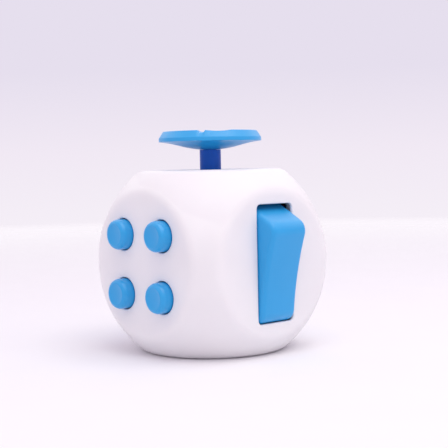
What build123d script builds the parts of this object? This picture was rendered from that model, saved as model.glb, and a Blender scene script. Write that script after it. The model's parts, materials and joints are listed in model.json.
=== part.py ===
from build123d import *
import os
from math import cos, radians, sin, sqrt

# Fidget cube, in millimetres. +Z is up and the origin is under the middle of the base.
# -Y carries four push buttons, +X a rocker switch, +Z a thumb disc on a tilting stem,
# +Y three rollers and a ball, -X a spin dial, and -Z a dished cover that it stands on.

# ---- Body ----
CUBE = 33.0                # across opposite flats
ROUNDING = 21.05           # radius of the ball that trims the cube's corners
EDGE_SOFTNESS = 2.5        # fillet between each flat and the ball
WALL = 1.8
FLOOR_TOP = 4.6            # top of the thick ring that holds the base cover
HALF = CUBE / 2
INNER_HALF = HALF - WALL
THROUGH = 2 * WALL         # depth of a cut that passes through a wall
RIB_THICKNESS = 1.2        # of the ribs and plates inside
RIB_SPACING = 3.6

# ---- Base ----
COVER_RADIUS = 11.1
COVER_BORE = 11.2
COVER_RIM = 1.2
COVER_RECESS = 3.4         # how deep the ring is bored for cover and frame flange
DISH_RADIUS = 8.8
DISH_DEPTH = 1.7
CLIP_BEAD = 0.3
CLIP_SPREAD = 20.0         # degrees of the rim that each clip takes
CLIP_LOW = 1.8
CLIP_HIGH = 2.25
CLIP_DEPTH = 0.9           # of a clip's root, in from the rim
CLIP_CLEARANCE = 0.05
FLANGE_BOTTOM = 2.4
FRAME_HOLE = 8.4
SCREW_CIRCLE = 9.8
SCREW_COUNT = 4
SCREW_RADIUS = 0.45
SCREW_LENGTH = 3.4
SCREW_HEAD = 1.0
SCREW_HEAD_HEIGHT = 0.8
SCREW_HOLE = 0.6           # in the frame's flange
SCREW_PILOT = 0.5          # in the shell's bosses
PILOT_DEPTH = 2.8
BOSS_RADIUS = 1.4
BOSS_HEIGHT = 2.0
CROSS_DEPTH = 0.4          # of the recess in every screw's head

# ---- Core frame ----
CORE_HALF = 6.5            # centre to flat of the octagon
CORE_WALL = 1.2
CORE_TOP = 25.6
SPRING_SHELF = 15.5

# ---- Buttons ----
BUTTON_PITCH = 10.6
BUTTON_RADIUS = 2.68
BUTTON_HOLE = 2.88
BUTTON_OUT = 2.15
BUTTON_ROUND = 0.85
BUTTON_DISH = 0.12
BUTTON_FLANGE = 3.5
BUTTON_FLANGE_TOP = -1.85
BUTTON_FLANGE_BOTTOM = -2.65
BUTTON_POCKET = 1.75
BUTTON_POCKET_TOP = -0.2
BUTTON_CUP_INNER = 3.75
BUTTON_CUP_OUTER = 4.5
BUTTON_POST = 0.9
BUTTON_POST_HEIGHT = 2.4
BUTTON_COIL = 1.35
BUTTON_WIRE = 0.3
BUTTON_TURNS = 5
BUTTON_PLATE_TOP = -5.0
BUTTON_PLATE_BOTTOM = -6.2
BUTTON_PLATE_SIDE = 18.4
BUTTON_PLATE_CORNER = 3.5
BUTTON_RIB_LENGTH = 15.0

# ---- Rocker ----
ROCKER_WIDTH = 8.3
SLOT_WIDTH = 8.6
SLOT_LENGTH = 20.8
SLOT_CORNER = 0.8
SLOT_LIP = 0.5             # wall left at the slot's edge
SLOT_RELIEF = 23.4         # length of the clearance behind the lip
SLOT_RELIEF_WIDTH = 9.5
ROCKER_TILT = 12.2         # either side of level
ROCKER_PIVOT_DEPTH = 6.0
ROCKER_FOOT = 10.8         # half length at the skirt's edge
ROCKER_CORNER = 8.7        # half length of the top, its corners left sharp
ROCKER_SAG = 0.64          # hollow of the top
ROCKER_MIDDLE = 8.0        # axle to the middle of the top
ROCKER_SKIRT = 1.5         # axle level to the skirt's edge
ROCKER_HUB = 2.0
ROCKER_AXLE = 0.75
ROCKER_CORE = 3.0          # half length of the solid middle
ROCKER_ROOF = 1.4          # thickness over the hollow ends
ROCKER_CHEEK = 1.2         # thickness beside the hollow ends
HOLLOW_FOOT = 9.4          # end of the hollow at the skirt
HOLLOW_HEAD = 7.7          # end of the hollow under the roof
ROCKER_CORNER_ROUND = 2.3
ROCKER_EDGE_ROUND = 0.9
EAR_INSIDE = 4.6
EAR_OUTSIDE = 5.8
EAR_RADIUS = 2.2
BRACKET_THICKNESS = 1.0
BRACKET_LENGTH = 17.0
BRACKET_OVERHANG = 0.65    # of the base plate past each ear
LEG_PITCH = 15.0
LEG_LENGTH = 2.0
LEAF_THICKNESS = 0.2
LEAF_HALF = 6.0
LEAF_WIDTH = 4.0
LEAF_CLEARANCE = 0.1
AXLE_CLEARANCE = 0.05
COIL_CLEARANCE = 0.03
PRESS_CLEARANCE = 0.02

# ---- Thumb disc and stem ----
STEM_RADIUS = 1.95
STEM_HOLE = 4.4
STEM_DISH = 7.0
STEM_DISH_DEPTH = 0.5
STEM_DISH_SAG = 0.12
TILT_HEIGHT = 24.5         # of both tilt axes
DISC_RADIUS = 9.45
DISC_BASE = 3.7            # underside of the hub above the top flat
DISC_TOP = 7.05
HUB_THICKNESS = 1.25
NOTCH_COUNT = 3
NOTCH_START = -52.0        # direction of the first notch, in degrees
NOTCH_RADIUS = 0.65
SCALLOP_START = -32.0
SCALLOP_RADIUS = 14.0
SCALLOP_DEPTH = 0.2
CUT_INSET = 2.4            # how far notches and scallops start in from the rim
CUT_LENGTH = 4.0
DISC_DISH = 0.8
RIM_FOOT = 2.1             # hub's underside to the foot of the rim's slope
RIM_LEAN = 0.8             # how far the rim's slope leans in
RIM_EDGE = 0.12            # bevel of the rim's top edge
RIM_LAND = 1.8             # rim to the start of the dish
RECESS_RADIUS = 2.6
SPIGOT_RADIUS = 1.2
STEM_FOOT = 21.5
STEM_FOOT_RADIUS = 3.4
STEM_FOOT_HEIGHT = 0.8
STEM_TAIL = 19.5
STEM_TAIL_RADIUS = 1.3
STEM_BORE = 0.6
STEM_BORE_DEPTH = 4.0
STICK_COIL = 2.5
STICK_WIRE = 0.4
STICK_TURNS = 5
RING_INNER = 3.0
RING_OUTER = 4.2
RING_HEIGHT = 1.6
PIN_RADIUS = 0.5
PIN_OVERLAP = 0.4          # of each pin with the gimbal ring
TAB_CLEARANCE = 0.08
TAB_WIDTH = 1.0
COLLAR_INNER = 5.0
COLLAR_OUTER = 6.4
COLLAR_FLANGE = 8.0
COLLAR_FLANGE_HEIGHT = 1.0
DISC_SCREW_HEAD = 2.0
DISC_SCREW_HEIGHT = 0.65
DISC_SCREW_LENGTH = 3.6
LONG_SCREW = 0.55          # radius of the screws in the stem and the dial
LONG_CROSS = 0.45          # width of their cross recess
CAP_CLEARANCE = 0.04
CAP_GAP = 0.1              # cap to the screw's head

# ---- Dial ----
DIAL_RADIUS = 7.0
DIAL_HOLE = 7.4
DIAL_FACE = 0.9            # how far its rim stands out
DIAL_DISH = 0.35
DIAL_BEVEL = 0.4
DIAL_GAP = 0.05            # under the rim
DIAL_PEG_OUT = 3.1
DIAL_PEG_UP = 4.2
DIAL_PEG = 1.6
DIAL_PEG_ROUND = 0.7
DIAL_SHAFT = 1.5
DIAL_SHAFT_END = 0.6       # past the plate's back
DIAL_GROOVES = 30
DIAL_GROOVE = 0.32
DIAL_GROOVE_DEPTH = 1.6
DIAL_BORE_DEPTH = 3.0
DIAL_PLATE = 8.8
DIAL_PLATE_THICKNESS = 1.2
DIAL_RIB_PITCH = 11.6
DIAL_RIB_LENGTH = 4.8
WASHER_WIDTH = 1.0
WASHER_THICKNESS = 0.2
WASHER_RISE = 0.3
DIAL_SCREW_HEAD = 2.3
DIAL_SCREW_HEIGHT = 0.8
DIAL_SCREW_LENGTH = 2.8

# ---- Rollers and ball ----
ROLLER_RADIUS = 3.8
ROLLER_GAP = 0.2
ROLLER_DEPTH = 2.6
ROLLER_UP = -4.6
ROLLER_WIDTH = 2.7
ROLLER_PITCH = 3.0
ROLLER_AXLE = 0.6
ROLLER_RIBS = 16
RIB_GROOVE = 0.45
RIB_GROOVE_OUT = 0.12      # centre of each groove outside the roller
ROLLER_SLOT_HALF = 4.6
ROLLER_AXLE_HALF = 5.7
ROLLER_EAR_INSIDE = 4.7
ROLLER_EAR_WIDTH = 3.2
ROLLER_EAR_BACK = 4.6      # axle to the back of the ears
SNAP_PINCH = 0.1           # how much narrower than the axle the snap-in slot is
ROLLER_PLATE_DEPTH = 8.2
ROLLER_PLATE_WIDTH = 12.0
ROLLER_PLATE_HEIGHT = 18.0
ROLLER_RIB_DOWN = 4.2
ROLLER_RIB_LENGTH = 8.6
ROLLER_RIB_HEIGHT = 1.9
BALL_RADIUS = 3.1
BALL_GAP = 0.15
BALL_DEPTH = 1.55
BALL_UP = 5.2
TUBE_WALL = 0.8
TUBE_HEIGHT = 7.8
SEAT_BOTTOM = 5.6          # below the flat
SEAT_HEIGHT = 2.2
SEAT_GAP = 0.06
BALL_COIL = 2.3
BALL_WIRE = 0.35
BALL_TURNS = 4

os.makedirs("parts", exist_ok=True)

# Each face's plane has its z axis outward. On the four sides its y axis is +Z.
top_face = Plane(origin=(0, 0, CUBE), x_dir=(1, 0, 0), z_dir=(0, 0, 1))
front_face = Plane(origin=(0, -HALF, HALF), x_dir=(1, 0, 0), z_dir=(0, -1, 0))
right_face = Plane(origin=(HALF, 0, HALF), x_dir=(0, 1, 0), z_dir=(1, 0, 0))
back_face = Plane(origin=(0, HALF, HALF), x_dir=(-1, 0, 0), z_dir=(0, 1, 0))
left_face = Plane(origin=(-HALF, 0, HALF), x_dir=(0, -1, 0), z_dir=(-1, 0, 0))


def section(face, across=0.0, up=0.0):
    """A plane that cuts straight into a face at a point: x is the radius, y is outward."""
    origin = face.from_local_coords(Vector(across, up, 0))
    return Plane(origin=origin, x_dir=face.x_dir, z_dir=face.x_dir.cross(face.z_dir))


def axis_at(face, across=0.0, up=0.0):
    """The outward axis through a point of a face."""
    return Axis(face.from_local_coords(Vector(across, up, 0)), face.z_dir)


def spoke(angle):
    """An upright plane through the Z axis: x points outward at an angle in degrees, y is up."""
    turn = radians(angle)
    return Plane(origin=(0, 0, 0), x_dir=(cos(turn), sin(turn), 0), z_dir=(sin(turn), -cos(turn), 0))


def crosswise(face, up, depth):
    """A plane across a face, square to its x axis: x is outward, and y is down the face."""
    origin = face.from_local_coords(Vector(0, up, -depth))
    return Plane(origin=origin, x_dir=face.z_dir, z_dir=face.x_dir)


def coil(face, across, up, low, high, radius, wire, turns):
    """The centre line of a spring between two heights along a face's outward axis."""
    end_gap = wire / 2 + COIL_CLEARANCE
    start = face.from_local_coords(Vector(across, up, low + end_gap))
    height = high - low - 2 * end_gap
    return Helix(height / turns, height, radius, center=start, direction=face.z_dir)


# ================= Body =================

with BuildPart() as cavity:
    with Locations((0, 0, HALF)):
        Sphere(ROUNDING - WALL)
    with Locations((0, 0, FLOOR_TOP)):
        Box(
            2 * INNER_HALF,
            2 * INNER_HALF,
            CUBE - WALL - FLOOR_TOP,
            align=(Align.CENTER, Align.CENTER, Align.MIN),
            mode=Mode.INTERSECT,
        )

with BuildPart() as outer_shell:
    with Locations((0, 0, HALF)):
        Sphere(ROUNDING)
        Box(CUBE, CUBE, CUBE, mode=Mode.INTERSECT)
    fillet(outer_shell.edges().filter_by(GeomType.CIRCLE), EDGE_SOFTNESS)
    add(cavity.part, mode=Mode.SUBTRACT)

    # Four button holes.
    with BuildSketch(front_face):
        with GridLocations(BUTTON_PITCH, BUTTON_PITCH, 2, 2):
            Circle(BUTTON_HOLE)
    extrude(amount=-THROUGH, mode=Mode.SUBTRACT)

    # Rocker slot with a thin lip, and room behind it for the swinging ends.
    with BuildSketch(right_face):
        RectangleRounded(SLOT_WIDTH, SLOT_LENGTH, SLOT_CORNER)
    extrude(amount=-THROUGH, mode=Mode.SUBTRACT)
    with BuildSketch(right_face.offset(-SLOT_LIP)):
        Rectangle(SLOT_RELIEF_WIDTH, SLOT_RELIEF)
    extrude(amount=-THROUGH, mode=Mode.SUBTRACT)

    # Stem hole with a shallow dished mouth.
    with BuildSketch(section(top_face)):
        with BuildLine():
            mouth = SagittaArc((STEM_DISH, 0), (STEM_HOLE, -STEM_DISH_DEPTH), STEM_DISH_SAG)
            Polyline(mouth @ 1, (STEM_HOLE, -THROUGH), (0, -THROUGH), (0, 0), mouth @ 0)
        make_face()
    revolve(axis=axis_at(top_face), mode=Mode.SUBTRACT)

    # Dial hole.
    with BuildSketch(left_face):
        Circle(DIAL_HOLE)
    extrude(amount=-THROUGH, mode=Mode.SUBTRACT)

    # Roller slot, curved to follow the rollers.
    with BuildSketch(crosswise(back_face, ROLLER_UP, ROLLER_DEPTH)):
        Circle(ROLLER_RADIUS + ROLLER_GAP)
    extrude(amount=ROLLER_SLOT_HALF, both=True, mode=Mode.SUBTRACT)

    # Ball socket, whose mouth is narrower than the ball.
    with Locations(back_face.from_local_coords(Vector(0, BALL_UP, -BALL_DEPTH))):
        Sphere(BALL_RADIUS + BALL_GAP, mode=Mode.SUBTRACT)
    with BuildSketch(back_face.offset(-BALL_DEPTH)):
        with Locations((0, BALL_UP)):
            Circle(BALL_RADIUS + BALL_GAP)
    extrude(amount=-WALL, mode=Mode.SUBTRACT)

    # Bored underside for the cover, with a groove for its clips.
    with BuildSketch(Plane.XY):
        Circle(COVER_BORE)
    extrude(amount=COVER_RECESS, mode=Mode.SUBTRACT)
    with BuildSketch(Plane.XY):
        Circle(FRAME_HOLE)
    extrude(amount=FLOOR_TOP + 1, mode=Mode.SUBTRACT)
    with BuildSketch(Plane.XY.offset(CLIP_LOW - 0.1)):
        Circle(COVER_BORE + CLIP_BEAD)
    extrude(amount=CLIP_HIGH - CLIP_LOW + 0.2, mode=Mode.SUBTRACT)

    # Bosses for the core screws.
    with BuildSketch(Plane.XY.offset(FLOOR_TOP)):
        with PolarLocations(SCREW_CIRCLE, SCREW_COUNT, start_angle=45):
            Circle(BOSS_RADIUS)
    extrude(amount=BOSS_HEIGHT)
    with BuildSketch(Plane.XY.offset(COVER_RECESS)):
        with PolarLocations(SCREW_CIRCLE, SCREW_COUNT, start_angle=45):
            Circle(SCREW_PILOT)
    extrude(amount=PILOT_DEPTH, mode=Mode.SUBTRACT)
outer_shell.part.label = "outer_shell"
export_step(outer_shell.part, "parts/outer_shell.step")

dish_sphere = (DISH_RADIUS**2 + DISH_DEPTH**2) / (2 * DISH_DEPTH)
dish_centre = DISH_DEPTH - dish_sphere
clip_root = COVER_RADIUS - CLIP_DEPTH
clip_side = COVER_RADIUS - CLIP_CLEARANCE
with BuildPart() as base_cover:
    with BuildSketch(Plane.XZ):
        with BuildLine():
            rim = Line((DISH_RADIUS, 0), (COVER_RADIUS, 0))
            side = Line(rim @ 1, (COVER_RADIUS, COVER_RIM))
            outer_rise = dish_sphere + COVER_RIM
            inside_radius = sqrt(outer_rise**2 - (COVER_RIM - dish_centre) ** 2)
            ledge = Line(side @ 1, (inside_radius, COVER_RIM))
            crown = RadiusArc(ledge @ 1, (0, outer_rise + dish_centre), -outer_rise)
            middle = Line(crown @ 1, (0, DISH_DEPTH))
            RadiusArc(middle @ 1, rim @ 0, dish_sphere)
        make_face()
    revolve(axis=Axis.Z)
    # Four springy clips, each with a bead that snaps into the shell's groove.
    for quarter in range(4):
        with BuildSketch(spoke(90 * quarter - CLIP_SPREAD / 2)):
            with BuildLine():
                Polyline(
                    (clip_root, COVER_RIM - 0.2),
                    (clip_side, COVER_RIM - 0.2),
                    (clip_side, CLIP_LOW),
                    (COVER_RADIUS + CLIP_BEAD, CLIP_LOW + 0.2),
                    (clip_side, CLIP_HIGH),
                    (clip_root, CLIP_HIGH),
                    close=True,
                )
            make_face()
        revolve(axis=Axis.Z, revolution_arc=CLIP_SPREAD)
base_cover.part.label = "base_cover"
export_step(base_cover.part, "parts/base_cover.step")

with BuildPart() as core_frame:
    # Octagonal post with a round flange at its foot.
    with BuildSketch(Plane.XY.offset(FLANGE_BOTTOM)):
        RegularPolygon(CORE_HALF, 8, major_radius=False, rotation=22.5)
    extrude(amount=CORE_TOP - FLANGE_BOTTOM)
    with BuildSketch(Plane.XY.offset(FLANGE_BOTTOM)):
        Circle(COVER_RADIUS)
    extrude(amount=COVER_RECESS - FLANGE_BOTTOM)
    # Hollow above and below the spring's shelf.
    with BuildSketch(Plane.XY.offset(SPRING_SHELF)):
        RegularPolygon(CORE_HALF - CORE_WALL, 8, major_radius=False, rotation=22.5)
    extrude(amount=CORE_TOP - SPRING_SHELF, mode=Mode.SUBTRACT)
    with BuildSketch(Plane.XY.offset(FLANGE_BOTTOM)):
        RegularPolygon(CORE_HALF - CORE_WALL, 8, major_radius=False, rotation=22.5)
    extrude(amount=SPRING_SHELF - CORE_WALL - FLANGE_BOTTOM, mode=Mode.SUBTRACT)
    # Open bearings for the gimbal's pins.
    with BuildSketch(Plane.YZ.offset(-2 * CORE_HALF)):
        with Locations((0, TILT_HEIGHT)):
            Circle(PIN_RADIUS + AXLE_CLEARANCE)
        with Locations((0, (TILT_HEIGHT + CORE_TOP) / 2)):
            Rectangle(2 * (PIN_RADIUS + AXLE_CLEARANCE), CORE_TOP - TILT_HEIGHT)
    extrude(amount=4 * CORE_HALF, mode=Mode.SUBTRACT)
    # Screw holes in the flange.
    with BuildSketch(Plane.XY.offset(FLANGE_BOTTOM)):
        with PolarLocations(SCREW_CIRCLE, SCREW_COUNT, start_angle=45):
            Circle(SCREW_HOLE)
    extrude(amount=COVER_RECESS - FLANGE_BOTTOM, mode=Mode.SUBTRACT)
core_frame.part.label = "core_frame"
export_step(core_frame.part, "parts/core_frame.step")

with BuildPart() as core_screws:
    with BuildSketch(Plane.XY.offset(FLANGE_BOTTOM - SCREW_HEAD_HEIGHT)):
        with PolarLocations(SCREW_CIRCLE, SCREW_COUNT, start_angle=45):
            Circle(SCREW_HEAD)
    extrude(amount=SCREW_HEAD_HEIGHT)
    with BuildSketch(Plane.XY.offset(FLANGE_BOTTOM)):
        with PolarLocations(SCREW_CIRCLE, SCREW_COUNT, start_angle=45):
            Circle(SCREW_RADIUS)
    extrude(amount=SCREW_LENGTH)
    # Cross recess in each head.
    with BuildSketch(Plane.XY.offset(FLANGE_BOTTOM - SCREW_HEAD_HEIGHT)):
        with PolarLocations(SCREW_CIRCLE, SCREW_COUNT, start_angle=45):
            Rectangle(1.1, 0.3)
            Rectangle(0.3, 1.1)
    extrude(amount=CROSS_DEPTH, mode=Mode.SUBTRACT)
core_screws.part.label = "core_screws"
export_step(core_screws.part, "parts/core_screws.step")

# ================= Buttons, -Y =================

button_places = [
    (across * BUTTON_PITCH / 2, up * BUTTON_PITCH / 2) for up in (1, -1) for across in (-1, 1)
]
for number, (across, up) in enumerate(button_places, start=1):
    with BuildPart() as button_cap:
        with BuildSketch(section(front_face, across, up)):
            with BuildLine():
                dished_top = SagittaArc(
                    (BUTTON_RADIUS, BUTTON_OUT), (0, BUTTON_OUT - BUTTON_DISH), 0.02
                )
                Polyline(
                    dished_top @ 1,
                    (0, BUTTON_POCKET_TOP),
                    (BUTTON_POCKET, BUTTON_POCKET_TOP),
                    (BUTTON_POCKET, BUTTON_FLANGE_BOTTOM),
                    (BUTTON_FLANGE, BUTTON_FLANGE_BOTTOM),
                    (BUTTON_FLANGE, BUTTON_FLANGE_TOP),
                    (BUTTON_RADIUS, BUTTON_FLANGE_TOP),
                    dished_top @ 0,
                )
            make_face()
        revolve(axis=axis_at(front_face, across, up))
        rim_edge = button_cap.edges().filter_by(GeomType.CIRCLE).sort_by(Axis.Y)[0]
        fillet(rim_edge, BUTTON_ROUND)
    button_cap.part.label = f"button_cap_{number}"
    export_step(button_cap.part, f"parts/button_cap_{number}.step")

    with BuildPart() as button_spring:
        with BuildLine():
            turns = coil(
                front_face,
                across,
                up,
                BUTTON_PLATE_TOP,
                BUTTON_POCKET_TOP,
                BUTTON_COIL,
                BUTTON_WIRE,
                BUTTON_TURNS,
            )
        with BuildSketch(Plane(origin=turns @ 0, z_dir=turns % 0)):
            Circle(BUTTON_WIRE / 2)
        sweep(is_frenet=True)
    button_spring.part.label = f"button_spring_{number}"
    export_step(button_spring.part, f"parts/button_spring_{number}.step")

with BuildPart() as button_plate:
    with BuildSketch(front_face.offset(BUTTON_PLATE_BOTTOM)):
        RectangleRounded(BUTTON_PLATE_SIDE, BUTTON_PLATE_SIDE, BUTTON_PLATE_CORNER)
    extrude(amount=BUTTON_PLATE_TOP - BUTTON_PLATE_BOTTOM)
    # A guide cup round each cap's flange, reaching the shell's wall.
    with BuildSketch(front_face.offset(BUTTON_PLATE_TOP)):
        with GridLocations(BUTTON_PITCH, BUTTON_PITCH, 2, 2):
            Circle(BUTTON_CUP_OUTER)
            Circle(BUTTON_CUP_INNER, mode=Mode.SUBTRACT)
    extrude(amount=-WALL - BUTTON_PLATE_TOP)
    # A post up the middle of each spring.
    with BuildSketch(front_face.offset(BUTTON_PLATE_TOP)):
        with GridLocations(BUTTON_PITCH, BUTTON_PITCH, 2, 2):
            Circle(BUTTON_POST)
    extrude(amount=BUTTON_POST_HEIGHT)
    # Two ribs that back on the core frame.
    with BuildSketch(front_face.offset(CORE_HALF - HALF)):
        with GridLocations(RIB_SPACING, 0, 2, 1):
            Rectangle(RIB_THICKNESS, BUTTON_RIB_LENGTH)
    extrude(amount=HALF - CORE_HALF + BUTTON_PLATE_BOTTOM)
button_plate.part.label = "button_plate"
export_step(button_plate.part, "parts/button_plate.step")

# ================= Rocker, +X =================

# The rocker's own plane at rest: origin on the axle, x along its length, y outward.
lean = radians(ROCKER_TILT)
rocker_axis_x = HALF - ROCKER_PIVOT_DEPTH
rocker_plane = Plane(
    origin=(rocker_axis_x, 0, HALF), x_dir=(sin(lean), 0, cos(lean)), z_dir=(0, 1, 0)
)
corner_height = ROCKER_MIDDLE + ROCKER_SAG
hollow_bottom = ROCKER_SKIRT - 0.1
hollow_top = ROCKER_MIDDLE - ROCKER_ROOF

with BuildPart() as rocker_paddle:
    with BuildSketch(rocker_plane) as rocker_outline:
        with BuildLine():
            hollow = ThreePointArc(
                (-ROCKER_CORNER, corner_height),
                (0, ROCKER_MIDDLE),
                (ROCKER_CORNER, corner_height),
            )
            Polyline(
                hollow @ 1,
                (ROCKER_FOOT, ROCKER_SKIRT),
                (-ROCKER_FOOT, ROCKER_SKIRT),
                hollow @ 0,
            )
        make_face()
        fillet(rocker_outline.vertices().group_by(Axis.Y)[-1], ROCKER_CORNER_ROUND)
    extrude(amount=ROCKER_WIDTH / 2, both=True)
    sides = rocker_paddle.faces().filter_by(Axis.Y)
    curved_edges = sides.edges().filter_by(GeomType.LINE, reverse=True)
    fillet(curved_edges, ROCKER_EDGE_ROUND)
    # Hollow underneath, either side of a solid middle.
    with BuildSketch(rocker_plane):
        for end in (-1, 1):
            with BuildLine():
                Polyline(
                    (end * ROCKER_CORE, hollow_bottom),
                    (end * HOLLOW_FOOT, hollow_bottom),
                    (end * HOLLOW_HEAD, hollow_top),
                    (end * ROCKER_CORE, hollow_top),
                    close=True,
                )
            make_face()
    extrude(amount=ROCKER_WIDTH / 2 - ROCKER_CHEEK, both=True, mode=Mode.SUBTRACT)
    # Hub for the axle.
    with BuildSketch(rocker_plane):
        Circle(ROCKER_HUB)
        with Locations((0, ROCKER_SKIRT / 2)):
            Rectangle(2 * ROCKER_HUB, ROCKER_SKIRT)
    extrude(amount=ROCKER_WIDTH / 2, both=True)
    with BuildSketch(rocker_plane):
        Circle(ROCKER_AXLE + AXLE_CLEARANCE)
    extrude(amount=ROCKER_WIDTH, both=True, mode=Mode.SUBTRACT)
rocker_paddle.part.label = "rocker_paddle"
export_step(rocker_paddle.part, "parts/rocker_paddle.step")

# The plane of the fixed pieces round the axle: x is up, y outward.
axle_plane = Plane(origin=(rocker_axis_x, 0, HALF), x_dir=(0, 0, 1), z_dir=(0, 1, 0))
bracket_back = CORE_HALF - rocker_axis_x
bracket_front = bracket_back + BRACKET_THICKNESS

with BuildPart() as rocker_axle:
    with BuildSketch(axle_plane):
        Circle(ROCKER_AXLE)
    extrude(amount=EAR_OUTSIDE, both=True)
rocker_axle.part.label = "rocker_axle"
export_step(rocker_axle.part, "parts/rocker_axle.step")

with BuildPart() as rocker_bracket:
    with BuildSketch(right_face.offset(CORE_HALF - HALF)):
        Rectangle(2 * (EAR_OUTSIDE + BRACKET_OVERHANG), BRACKET_LENGTH)
    extrude(amount=bracket_front - bracket_back)
    # Two ears that hold the axle.
    for ear_start in (EAR_INSIDE, -EAR_OUTSIDE):
        with BuildSketch(axle_plane.offset(ear_start)):
            Circle(EAR_RADIUS)
            with Locations((0, bracket_front / 2)):
                Rectangle(2 * EAR_RADIUS, -bracket_front)
            Circle(ROCKER_AXLE + PRESS_CLEARANCE, mode=Mode.SUBTRACT)
        extrude(amount=EAR_OUTSIDE - EAR_INSIDE)
    # Four legs that stand against the shell's wall, clear of the rocker.
    with BuildSketch(right_face.offset(bracket_front + rocker_axis_x - HALF)):
        with GridLocations(2 * EAR_OUTSIDE + 0.1, LEG_PITCH, 2, 2):
            Rectangle(RIB_THICKNESS, LEG_LENGTH)
    extrude(amount=INNER_HALF - rocker_axis_x - bracket_front)
rocker_bracket.part.label = "rocker_bracket"
export_step(rocker_bracket.part, "parts/rocker_bracket.step")

leaf_crown = -ROCKER_HUB - LEAF_CLEARANCE
leaf_foot = bracket_front + LEAF_THICKNESS
with BuildPart() as rocker_leaf_spring:
    with BuildSketch(axle_plane):
        with BuildLine():
            upper = ThreePointArc(
                (-LEAF_HALF, leaf_foot), (0, leaf_crown), (LEAF_HALF, leaf_foot)
            )
            lower = ThreePointArc(
                (-LEAF_HALF, bracket_front),
                (0, leaf_crown - LEAF_THICKNESS),
                (LEAF_HALF, bracket_front),
            )
            Line(upper @ 0, lower @ 0)
            Line(upper @ 1, lower @ 1)
        make_face()
    extrude(amount=LEAF_WIDTH / 2, both=True)
rocker_leaf_spring.part.label = "rocker_leaf_spring"
export_step(rocker_leaf_spring.part, "parts/rocker_leaf_spring.step")

# ================= Thumb disc and stem, +Z =================

hub_bottom = CUBE + DISC_BASE
hub_top = hub_bottom + HUB_THICKNESS
shoulder = hub_bottom - AXLE_CLEARANCE
spigot_top = hub_top + AXLE_CLEARANCE
disc_top = CUBE + DISC_TOP

with BuildPart() as stick_stem:
    with BuildSketch(Plane.XZ):
        with BuildLine():
            Polyline(
                (0, STEM_TAIL),
                (STEM_TAIL_RADIUS, STEM_TAIL),
                (STEM_TAIL_RADIUS, STEM_FOOT),
                (STEM_FOOT_RADIUS, STEM_FOOT),
                (STEM_FOOT_RADIUS, STEM_FOOT + STEM_FOOT_HEIGHT),
                (STEM_RADIUS, STEM_FOOT + STEM_FOOT_HEIGHT),
                (STEM_RADIUS, shoulder),
                (SPIGOT_RADIUS, shoulder),
                (SPIGOT_RADIUS, spigot_top),
                (0, spigot_top),
                close=True,
            )
        make_face()
    revolve(axis=Axis.Z)
    with BuildSketch(Plane.XZ):
        with Locations((0, TILT_HEIGHT)):
            Circle(PIN_RADIUS + PRESS_CLEARANCE)
    extrude(amount=2 * STEM_RADIUS, both=True, mode=Mode.SUBTRACT)
    with BuildSketch(Plane.XY.offset(spigot_top)):
        Circle(STEM_BORE)
    extrude(amount=-STEM_BORE_DEPTH, mode=Mode.SUBTRACT)
stick_stem.part.label = "stick_stem"
export_step(stick_stem.part, "parts/stick_stem.step")

with BuildPart() as stick_cross_pin:
    with BuildSketch(Plane.XZ):
        with Locations((0, TILT_HEIGHT)):
            Circle(PIN_RADIUS)
    extrude(amount=RING_OUTER - 0.1, both=True)
stick_cross_pin.part.label = "stick_cross_pin"
export_step(stick_cross_pin.part, "parts/stick_cross_pin.step")

with BuildPart() as gimbal_ring:
    with BuildSketch(Plane.XY.offset(TILT_HEIGHT)):
        Circle(RING_OUTER)
        Circle(RING_INNER, mode=Mode.SUBTRACT)
    extrude(amount=RING_HEIGHT / 2, both=True)
    with BuildSketch(Plane.XZ):
        with Locations((0, TILT_HEIGHT)):
            Circle(PIN_RADIUS + AXLE_CLEARANCE)
    extrude(amount=2 * RING_OUTER, both=True, mode=Mode.SUBTRACT)
    # Two pins that turn in the core frame's open bearings.
    for pin_start in (RING_OUTER - PIN_OVERLAP, -CORE_HALF + 0.3):
        with BuildSketch(Plane.YZ.offset(pin_start)):
            with Locations((0, TILT_HEIGHT)):
                Circle(PIN_RADIUS)
        extrude(amount=CORE_HALF - RING_OUTER + 0.1)
gimbal_ring.part.label = "gimbal_ring"
export_step(gimbal_ring.part, "parts/gimbal_ring.step")

with BuildPart() as stick_spring:
    with BuildLine():
        turns = coil(
            top_face,
            0,
            0,
            SPRING_SHELF - CUBE,
            STEM_FOOT - CUBE,
            STICK_COIL,
            STICK_WIRE,
            STICK_TURNS,
        )
    with BuildSketch(Plane(origin=turns @ 0, z_dir=turns % 0)):
        Circle(STICK_WIRE / 2)
    sweep(is_frenet=True)
stick_spring.part.label = "stick_spring"
export_step(stick_spring.part, "parts/stick_spring.step")

tab_bottom = TILT_HEIGHT + PIN_RADIUS + TAB_CLEARANCE
with BuildPart() as stick_collar:
    with BuildSketch(Plane.XY.offset(CORE_TOP)):
        Circle(COLLAR_OUTER)
    extrude(amount=CUBE - WALL - CORE_TOP)
    with BuildSketch(Plane.XY.offset(CUBE - WALL - COLLAR_FLANGE_HEIGHT)):
        Circle(COLLAR_FLANGE)
    extrude(amount=COLLAR_FLANGE_HEIGHT)
    # Two tabs that close the open bearings from above.
    with BuildSketch(Plane.XY.offset(tab_bottom)):
        with GridLocations(2 * CORE_HALF - CORE_WALL, 0, 2, 1):
            Rectangle(CORE_WALL - 0.2, TAB_WIDTH)
    extrude(amount=CORE_TOP - tab_bottom)
    with BuildSketch(Plane.XY.offset(CORE_TOP)):
        Circle(COLLAR_INNER)
    extrude(amount=CUBE - CORE_TOP, mode=Mode.SUBTRACT)
stick_collar.part.label = "stick_collar"
export_step(stick_collar.part, "parts/stick_collar.step")

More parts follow.
